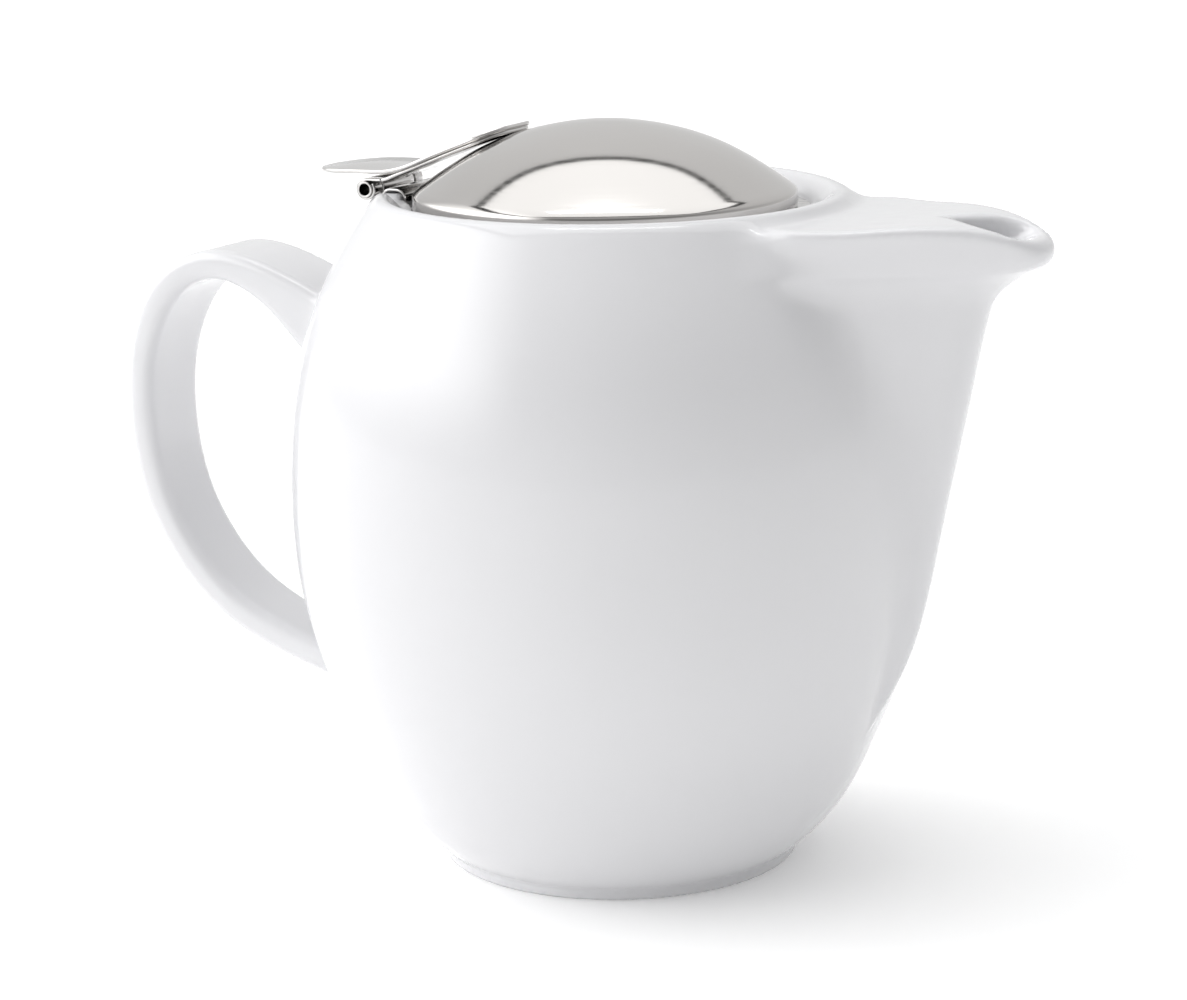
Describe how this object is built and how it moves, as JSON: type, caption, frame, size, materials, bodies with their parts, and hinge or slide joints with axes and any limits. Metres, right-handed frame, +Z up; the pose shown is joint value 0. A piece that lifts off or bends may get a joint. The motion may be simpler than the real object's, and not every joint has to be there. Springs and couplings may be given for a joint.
{
  "type": "teapot with infuser",
  "caption": "Round white porcelain teapot with a loop handle, a flat-topped V spout, a lift-out steel basket infuser and a hinged steel lid with a thumb lever.",
  "frame": {"origin": "on the pot's axis, in the plane of the foot ring that it stands on", "axes": "+Z up along the pot's axis, +X towards the spout, the handle and the lid's hinge are at -X"},
  "size_m": [0.1594, 0.102, 0.1166],
  "materials": {
    "porcelain": "clear gloss glaze on white porcelain",
    "lid_steel": "satin, spun",
    "hinge_steel": "polished sheet",
    "infuser_steel": "perforated sheet"
  },
  "bodies": {
    "pot": {"pot_body": "porcelain", "pot_handle": "porcelain"},
    "lid_clip": {"rim_clip": "hinge_steel", "hinge_pin": "hinge_steel"},
    "lid": {"lid_dome": "lid_steel", "hinge_leaf": "hinge_steel", "thumb_lever": "hinge_steel"},
    "infuser": {"infuser_flange": "infuser_steel", "infuser_wall": "infuser_steel", "infuser_floor": "infuser_steel"}
  },
  "joints": [
    {"name": "infuser_lift", "type": "slide", "parent": "pot", "child": "infuser", "axis": [0, 0, 1], "range_m": [0, 0.084]},
    {"name": "lid_lift", "type": "slide", "parent": "pot", "child": "lid_clip", "axis": [0, 0, 1], "range_m": [0, 0.12]},
    {"name": "lid_hinge", "type": "hinge", "parent": "lid_clip", "child": "lid", "pos_m": [-0.0395, 0, 0.1049], "axis": [0, -1, 0], "range_deg": [0, 72]}
  ],
  "couplings": [
    {"joint": "lid_lift", "follows": "infuser_lift", "ratio": 1.4}
  ]
}
